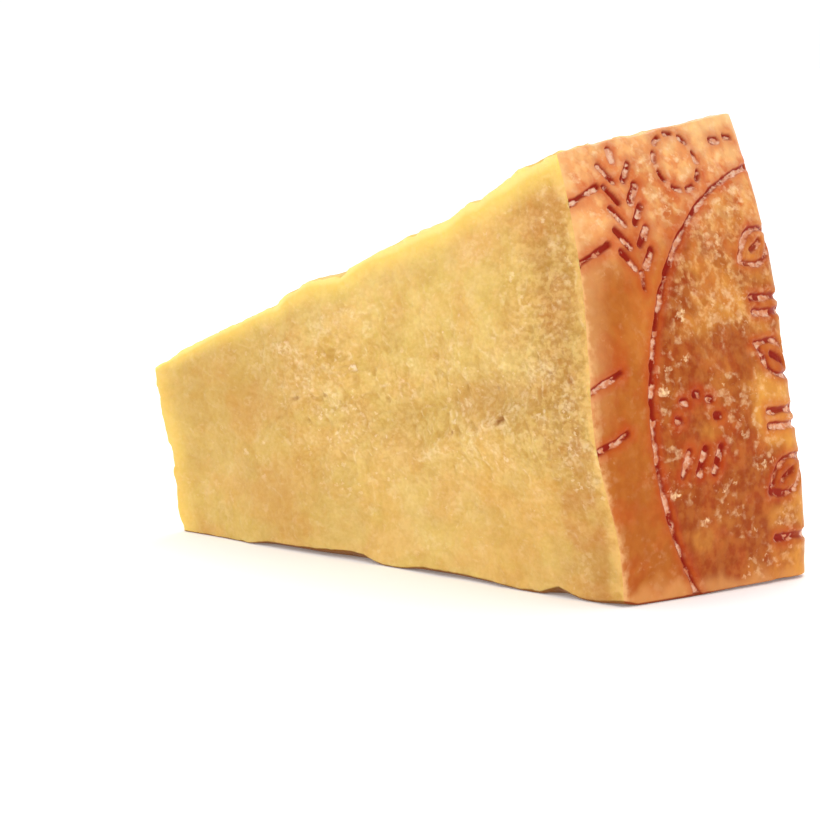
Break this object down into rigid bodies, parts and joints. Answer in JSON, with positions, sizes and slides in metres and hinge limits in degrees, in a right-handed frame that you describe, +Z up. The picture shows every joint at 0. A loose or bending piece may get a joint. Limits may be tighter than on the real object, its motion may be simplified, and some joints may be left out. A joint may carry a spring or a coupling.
{
  "type": "hard cheese wedge",
  "caption": "Wedge of hard aged cheese lying on a radial break: a blunt tip, rough broken faces and a curved rind with pressed marks.",
  "frame": {"origin": "centre of the bounding box's underside, on the flat lower break that the wedge rests on", "axes": "+X from the blunt tip to the rind, +Y from the broken front face to the back, along the wheel's axis, +Z up"},
  "size_m": [0.1428, 0.0636, 0.0933],
  "materials": {
    "cheese": "granular golden paste, slightly translucent, with a waxy orange-brown rind"
  },
  "bodies": {
    "root": {"cheese_wedge": "cheese"}
  },
  "joints": []
}
